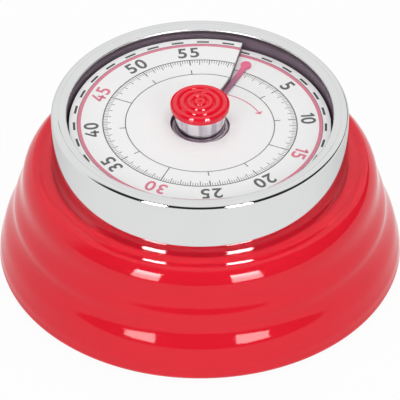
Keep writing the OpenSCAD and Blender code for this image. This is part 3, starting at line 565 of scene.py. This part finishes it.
bpy.ops.mesh.select_all(action="SELECT")
bpy.ops.mesh.normals_make_consistent(inside=False)
bpy.ops.object.mode_set(mode="OBJECT")
bpy.ops.object.shade_smooth_by_angle(angle=crease)

printed_white, place = new_finish("printed_dial", {"IOR": 1.5, "Specular IOR Level": 0.3})
in_mm = place.stretch((1000, 1000, 0))
out = in_mm.radius()
# In degrees: one minute, the print's turn to the left, and the dial's high end left of the pointer.
minute_turn, print_turn, high_end = 6, 2, 6.6
from_pointer = in_mm.axis("X").math("ARCTAN2", in_mm.axis("X"), in_mm.axis("Y")) * (30 / math.pi)
minute = from_pointer + print_turn / minute_turn
clockwise = minute + (from_pointer < -high_end / minute_turn) * 60
mm_per_minute = out * (2 * math.pi / 60)


def ring(centre, width):
    return abs(out - centre) < width / 2


def ticks(step, inner, outer, width):
    beside = minute.fold(step / 2) * mm_per_minute
    return (beside < width / 2) * (out > inner) * (out < outer)


ring_in, ring_out = 13.26, 17.28
grey_print = ring(ring_in, 0.18) | ring(ring_out, 0.21)
for step, inner, outer, width in (
    (15, ring_in, ring_out, 0.18), (5, ring_in, 14.4, 0.2), (5, 15.8, ring_out, 0.22),
    (1, 15.92, ring_out, 0.14), (0.25, 16.43, ring_out, 0.105),
):
    grey_print |= ticks(step, inner, outer, width)
first_dash, dash_half_step, dash_half = 1.435, 0.979, 0.46
dashes = ((clockwise - first_dash).fold(dash_half_step) < dash_half) * ring(22.4, 0.42)
dark_print = dashes | ring(21.87, 0.1)
arrow_r, arrow_grow, arrow_end, head_turn, shaft_half, head_spread = 10.2, 1, 49.5, 4, 0.12, 0.2
degrees = clockwise * minute_turn
arrow_mid = arrow_r + degrees * (arrow_grow / arrow_end)
arrow_head = degrees > arrow_end - head_turn
arrow_half = (1 - arrow_head) * shaft_half + arrow_head * (arrow_end - degrees) * head_spread
arrow = (abs(out - arrow_mid) < arrow_half) * (degrees > 0) * (degrees < arrow_end)
pink_print = arrow | ring(21.5, 0.62)
fibre = place.grain(2400, 2)
card = fibre.mix((0.87, 0.87, 0.87, 1), (0.90, 0.90, 0.90, 1))
card = grey_print.mix(card, (0.13, 0.13, 0.13, 1))
card = pink_print.mix(card, (0.70, 0.225, 0.305, 1))
card = dark_print.mix(card, (0.07, 0.078, 0.075, 1))
paint("Base Color", card)
paint("Roughness", 0.42 + fibre * 0.1)
relief(fibre, 0.003)
fit(dial_plate, printed_white, "dial_white", "case", "dial_plate")


# Numerals: minutes printed on the dial in a narrow sans, tops outward. They are a thin film of
# dark grey ink, and pink ink at each quarter of the hour. The 1 and the 4 are drawn from bars.
numeral_h, numeral_w, numeral_r, film_lift, numeral_slit = 2.7, 1.02, 19.35, 0.014, 5.2
film_half, bolder, bar_corner, narrow_pitch, digit_pitch = 0.00001, 0.02, 0.01, 0.36, 0.58
# Each bar: its two ends and half its width, in font heights.
bars = {
    "1": (((0.24, 0.02), (0.24, 0.68), 0.06), ((0.06, 0.5), (0.24, 0.64), 0.05)),
    "4": (
        ((0.03, 0.2), (0.5, 0.2), 0.06),
        ((0.36, 0.0), (0.36, 0.42), 0.06),
        ((0.07, 0.22), (0.32, 0.69), 0.058),
    ),
}


def digit_film(digit):
    bpy.ops.object.select_all(action="DESELECT")
    bpy.ops.object.text_add()
    text = bpy.context.object
    text.data.body = digit
    text.data.extrude = film_half
    text.data.offset = bolder
    bpy.ops.object.convert(target="MESH")
    return bpy.context.object


def bar_film(start, end, half):
    bpy.ops.object.select_all(action="DESELECT")
    bpy.ops.mesh.primitive_cube_add(size=1)
    bar = bpy.context.object
    long, turned = math.dist(start, end), math.atan2(end[1] - start[1], end[0] - start[0])
    bar.matrix_world = (
        Matrix.Translation(((start[0] + end[0]) / 2, (start[1] + end[1]) / 2, 0))
        @ Matrix.Rotation(turned, 4, "Z")
        @ Matrix.Diagonal((long, 2 * half, 2 * film_half, 1))
    )
    bpy.ops.object.mode_set(mode="EDIT")
    bpy.ops.mesh.bevel(offset=bar_corner, segments=1, affect="EDGES")
    bpy.ops.object.mode_set(mode="OBJECT")
    return bar


def numeral(minutes):
    films, pen = [], 0
    for digit in str(minutes):
        if digit in bars:
            parts = [bar_film(start, end, half) for start, end, half in bars[digit]]
        else:
            parts = [digit_film(digit)]
        film = join(parts, "digit")
        film.matrix_world = Matrix.Translation((pen, 0, 0))
        pen += narrow_pitch if digit == "1" else digit_pitch
        films.append(film)
    film = join(films, "numeral")
    ys = [v.co.y for v in film.data.vertices]
    xs = [v.co.x for v in film.data.vertices]
    tall = numeral_h * MM / (max(ys) - min(ys))
    turn = minutes * minute_turn - print_turn
    lift = dial_z + dial_rise * (turn + numeral_slit) / 360 + film_lift
    film.matrix_world = (
        Matrix.Translation((0, 0, lift * MM))
        @ Matrix.Rotation(-math.radians(turn), 4, "Z")
        @ Matrix.Translation((0, numeral_r * MM, 0))
        @ Matrix.Rotation(-math.atan(dial_rise / (2 * math.pi * numeral_r)), 4, "Y")
        @ Matrix.Diagonal((tall * numeral_w, tall, 1, 1))
        @ Matrix.Translation((-(max(xs) + min(xs)) / 2, -(max(ys) + min(ys)) / 2, 0))
    )
    return film


def ink(name, thin, full):
    finish, place = new_finish(name, {"IOR": 1.45, "Specular IOR Level": 0.3})
    cover = place.grain(3200, 2)
    paint("Base Color", cover.mix(thin, full))
    paint("Roughness", 0.4 + cover * 0.15)
    return finish


grey_ink = ink("grey_ink", (0.15, 0.15, 0.15, 1), (0.105, 0.105, 0.105, 1))
pink_ink = ink("pink_ink", (0.74, 0.23, 0.31, 1), (0.68, 0.18, 0.26, 1))
grey_numerals = [numeral(minutes) for minutes in range(5, 60, 5) if minutes % 15]
fit(join(grey_numerals, "grey_numerals"), grey_ink, "dark_plastic", "case")
pink_numerals = [numeral(minutes) for minutes in (15, 30, 45)]
fit(join(pink_numerals, "pink_numerals"), pink_ink, "pointer_pink", "case")


# Pointer and its collar: the pointer is stamped from thin sheet with a round head and lacquered
# pink-red, and painted shade darkens it to mauve towards its root, for the dial edge's shadow. It
# is riveted on a mauve lacquered collar that slides on the knob's stem, so it climbs with the dial.
low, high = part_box("pointer_collar")
collar_low, collar_top, collar_in, collar_r = low.z / MM, high.z / MM, 4.55, 4.95
low_round, high_round = 0.1, 0.12
collar_outline = [(collar_in, collar_low)]
collar_outline += arc((collar_r - low_round, collar_low + low_round), low_round, 270, 360, 3)
collar_outline += arc((collar_r - high_round, collar_top - high_round), high_round, 0, 90, 4)
collar_outline.append((collar_in, collar_top))
collar = lathe("pointer_slider", collar_outline, 96)

mauve_lacquer, place = new_finish("mauve_lacquer", {"IOR": 1.5})
drawn_edge = place.axis("Z").lines(8000)
thin_coat = place.grain(700, 3)
paint("Base Color", thin_coat.mix((0.42, 0.33, 0.39, 1), (0.52, 0.43, 0.48, 1)))
paint("Roughness", 0.28 + drawn_edge * 0.12)
relief(drawn_edge, 0.002)
fit(collar, mauve_lacquer, "dark_plastic", "pointer", "pointer_collar")

low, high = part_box("pointer")
pointer_low, pointer_top, head_r, root_r = low.z, high.z, 0.95 * MM, 4.65 * MM
head_y, neck_y = high.y - head_r - 0.01 * MM, 0.8 * head_r
root_taper, edge_roll, mauve_to, pink_from = 0.66, 0.12 * MM, 12.5 * MM, 18.5 * MM
bpy.ops.object.select_all(action="DESELECT")
bpy.ops.mesh.primitive_circle_add(
    vertices=32, radius=head_r, fill_type="NGON", location=(0, head_y, pointer_low)
)
bpy.ops.object.transform_apply(location=True, rotation=True, scale=True)
pointer = bpy.context.object
pointer.name = pointer.data.name = "red_pointer"
bpy.ops.object.mode_set(mode="EDIT")
bpy.ops.mesh.select_all(action="DESELECT")
bpy.ops.object.mode_set(mode="OBJECT")
select_edges(pointer, lambda co: co.y < head_y - neck_y)
bpy.ops.object.mode_set(mode="EDIT")
bpy.ops.mesh.extrude_edges_move(TRANSFORM_OT_translate={"value": (0, root_r - head_y, 0)})
bpy.ops.transform.resize(value=(root_taper, 0, 1), center_override=(0, root_r, 0))
bpy.ops.object.mode_set(mode="OBJECT")
sheet = pointer.modifiers.new("sheet", "SOLIDIFY")
sheet.thickness = pointer_top - pointer_low
sheet.offset = 1
bpy.ops.object.modifier_apply(modifier=sheet.name)
bpy.ops.object.mode_set(mode="EDIT")
bpy.ops.mesh.select_all(action="SELECT")
bpy.ops.mesh.remove_doubles(threshold=weld)
bpy.ops.mesh.normals_make_consistent(inside=False)
bpy.ops.object.mode_set(mode="OBJECT")
soft_edge = pointer.modifiers.new("soft_edge", "BEVEL")
soft_edge.width = edge_roll
soft_edge.segments = 4
soft_edge.angle_limit = math.radians(50)
bpy.ops.object.modifier_apply(modifier=soft_edge.name)
bpy.ops.object.shade_smooth_by_angle(angle=crease)

pink_lacquer, place = new_finish("pink_lacquer", {"IOR": 1.5})
# Painted shade: the colour darkens from pink-red to dark mauve towards the root.
painted_root_shade = soft_step(place.axis("Y"), mauve_to, pink_from)
brushed_on = place.stretch((4000, 300, 300)).grain(1, 2)
paint("Base Color", painted_root_shade.mix((0.30, 0.125, 0.20, 1), (0.80, 0.14, 0.27, 1)))
paint("Roughness", 0.25 + brushed_on * 0.1)
relief(brushed_on, 0.002)
fit(pointer, pink_lacquer, "pointer_pink", "pointer", "pointer")


# Knob stem: a turned, plated tube over the main arbor. Its colour holds painted reflections, soft
# upright bands of light grey and mauve. The user's fingers turn it by the cap, which is pressed on
# its top end.
low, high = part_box("knob_stem")
stem_r, stem_bore, stem_round, stem_low, stem_top = 4.48, 1.6, 0.15, low.z / MM, high.z / MM
stem_outline = [(stem_bore, stem_low)]
stem_outline += arc((stem_r - stem_round, stem_low + stem_round), stem_round, 270, 360, 3)
stem_outline += [(stem_r, stem_top), (stem_bore, stem_top)]
stem = lathe("plated_stem", stem_outline, 128)

plated_stem, place = new_finish("plated_stem", {"Metallic": 1})
turning = place.axis("Z").lines(5200)
# Painted reflection: upright bands of light grey and mauve in the stem's colour.
painted_reflection_bands = soft_step(place.stretch((560, 560, 30)).grain(1, 1), 0.38, 0.62)
paint("Base Color", painted_reflection_bands.mix((0.52, 0.47, 0.54, 1), (0.80, 0.79, 0.81, 1)))
paint("Roughness", 0.08 + turning * 0.06)
relief(turning, 0.0015)
fit(stem, plated_stem, "chrome", "knob", "knob_stem")


# Knob cap: a shallow mushroom of glossy red plastic with four rings moulded into its domed top,
# for grip. Each ring has a round crown and straight flanks. It is pressed on the stem.
low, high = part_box("knob_cap")
knob_r, knob_low, knob_top = high.x / MM - 0.005, low.z / MM, high.z / MM
rim_edge, crest_z, top_r, bead_count = 0.12, knob_low + 1.2, knob_r - 0.16, 4
crown_r, flank, bead_half, bead_fall = 0.44, 29, 0.53, 0.48
rim_top = crest_z - 0.22
dome_h = knob_top - crest_z - 0.01
cap_outline = [(0, knob_low)]
cap_outline += arc((knob_r - rim_edge, knob_low + rim_edge), rim_edge, 270, 360, 5)
cap_outline += arc((knob_r - rim_edge, rim_top - rim_edge), rim_edge, 0, 90, 5)
for bead in reversed(range(bead_count)):
    bead_at = (bead + 0.5) * top_r / bead_count
    crest = crest_z + dome_h * (1 - (bead_at / top_r) ** 2)
    cap_outline.append((bead_at + bead_half, crest - bead_fall))
    cap_outline += arc((bead_at, crest - crown_r), crown_r, flank, 180 - flank, 16)
    cap_outline.append((bead_at - bead_half, crest - bead_fall))
cap_outline.append((0, crest - bead_fall))
cap = lathe("knob_cap_rings", cap_outline, 160, closed=False)

glossy_red, place = new_finish("glossy_red_plastic", {"IOR": 1.5, "Specular IOR Level": 0.55})
swirl = place.grain(420, 3)
handling = place.grain(900, 3)
paint("Base Color", swirl.mix((0.79, 0.004, 0.026, 1), (0.87, 0.007, 0.034, 1)))
paint("Roughness", 0.02 + handling * 0.02)
relief(handling, 0.0005)
fit(cap, glossy_red, "red_plastic", "knob", "knob_cap")


# Studio: a white floor that keeps a soft contact shadow and is clear from below, a large lamp
# overhead and two beside the camera. The room is white, with a dark side behind the camera where
# two windows stand, and a low dark wall on the right. These show in reflections alone.
white, floor_gap, floor_glow = (1, 1, 1, 1), 0.02 * MM, 0.95
bpy.ops.object.select_all(action="DESELECT")
bpy.ops.mesh.primitive_plane_add(size=8, location=(0, 0, -floor_gap))
floor = bpy.context.object
floor.name = floor.data.name = "studio_floor"
paper = bpy.data.materials.new("white_paper")
paper.use_nodes = True
tree = paper.node_tree
seen = source(tree, "ShaderNodeLightPath", "Is Camera Ray")
for kind in ("Is Glossy Ray", "Is Transmission Ray"):
    seen |= source(tree, "ShaderNodeLightPath", kind)
lit = seen.node("ShaderNodeBsdfDiffuse", {}, {"Color": (0.8, 0.8, 0.8, 1)})
bright = seen.node("ShaderNodeEmission", {}, {"Color": white, "Strength": 1})
paper_look = seen.node("ShaderNodeMixShader", {}, {0: seen * floor_glow, 1: lit, 2: bright})
from_below = source(tree, "ShaderNodeNewGeometry", "Backfacing")
clear = seen.node("ShaderNodeBsdfTransparent", {}, {})
paper_look = seen.node("ShaderNodeMixShader", {}, {0: from_below, 1: paper_look, 2: clear})
tree.links.new(paper_look.socket, tree.nodes["Material Output"].inputs["Surface"])
floor.data.materials.append(paper)

view_turn, view_up, target_z, distance = math.radians(25.8), math.radians(39.8), 0.012, 1.6
toward = (math.sin(view_turn), -math.cos(view_turn), 0)
beside = (math.cos(view_turn), math.sin(view_turn), 0)

room = bpy.data.worlds.new("studio_room")
bpy.context.scene.world = room
room.use_nodes = True
tree = room.node_tree
heading = source(tree, "ShaderNodeTexCoord", "Generated")


def share(direction):
    sockets = {0: heading, 1: direction}
    return heading.node("ShaderNodeVectorMath", {"operation": "DOT_PRODUCT"}, sockets, "Value")


def step_degrees(angle, start, end):
    return soft_step(angle, math.radians(start), math.radians(end))


def within(angle, middle, half):
    return abs(angle - math.radians(middle)) < math.radians(half)


front, up = share(toward), share((0, 0, 1))
turn = front.math("ARCTAN2", share(beside), front)
rise = up.math("ARCSINE", up)
dark_side = soft_step(front, 0, 0.3) * (1 - step_degrees(rise, 44, 56))
wall_near, wall_far, wall_blur = 0.68, 0.16, 0.04
wall_edge = wall_near - step_degrees(turn, 80, 132) * (wall_near - wall_far)
low_wall = step_degrees(turn, 50, 70) * (1 - step_degrees(turn, 148, 158))
low_wall *= 1 - soft_step(rise - wall_edge, -wall_blur, wall_blur)
windows = (within(turn, -32.2, 8.2) + within(turn, 28, 9)) * within(rise, 17, 13)
pane, pane_top, darkness, room_level = 13, 16, 0.97, 0.42
pane_light = pane + soft_step(rise, 0.2, 0.5) * pane_top
mirrored = 1 - (dark_side | low_wall) * darkness + windows * pane_light
camera_ray = source(tree, "ShaderNodeLightPath", "Is Camera Ray")
mirror_ray = source(tree, "ShaderNodeLightPath", "Is Glossy Ray")
mirror_ray |= source(tree, "ShaderNodeLightPath", "Is Transmission Ray")
level = camera_ray + mirror_ray * mirrored + (1 - camera_ray) * (1 - mirror_ray) * room_level
tree.links.new(level.socket, tree.nodes["Background"].inputs["Strength"])
tree.nodes["Background"].inputs["Color"].default_value = white


def lamp(name, place, aim, size, energy):
    light = bpy.data.lights.new(name, "AREA")
    light.shape = "RECTANGLE"
    light.size, light.size_y = size
    light.energy = energy
    holder = bpy.data.objects.new(name, light)
    bpy.context.collection.objects.link(holder)
    holder.location = place
    away = Vector(place) - Vector(aim)
    holder.rotation_euler = away.to_track_quat("Z", "Y").to_euler()
    holder.visible_glossy = False
    holder.visible_camera = False


lamp("overhead_lamp", (0, 0.1, 0.9), (0, 0, 0), (0.9, 0.9), 4.4)
lamp_far, lamp_turn, lamp_z = 0.6, 0.61, 0.25
ahead, aside = math.cos(lamp_turn), math.sin(lamp_turn)
for side in (-1, 1):
    x, y, _ = [lamp_far * (t * ahead + side * b * aside) for t, b in zip(toward, beside)]
    lamp("side_lamp", (x, y, lamp_z), (0, 0, 0.015), (0.24, 0.44), 0.85)

camera = bpy.data.cameras.new("camera")
camera.sensor_width = 36
camera.lens = 804.3
camera.clip_start, camera.clip_end = 0.01, 50
camera_holder = bpy.data.objects.new("camera", camera)
bpy.context.collection.objects.link(camera_holder)
flat, tall = distance * math.cos(view_up), distance * math.sin(view_up)
camera_holder.location = (flat * toward[0], flat * toward[1], target_z + tall)
camera_holder.rotation_euler = (math.pi / 2 - view_up, 0, view_turn)
bpy.context.scene.camera = camera_holder
bpy.context.scene.view_settings.view_transform = "Standard"
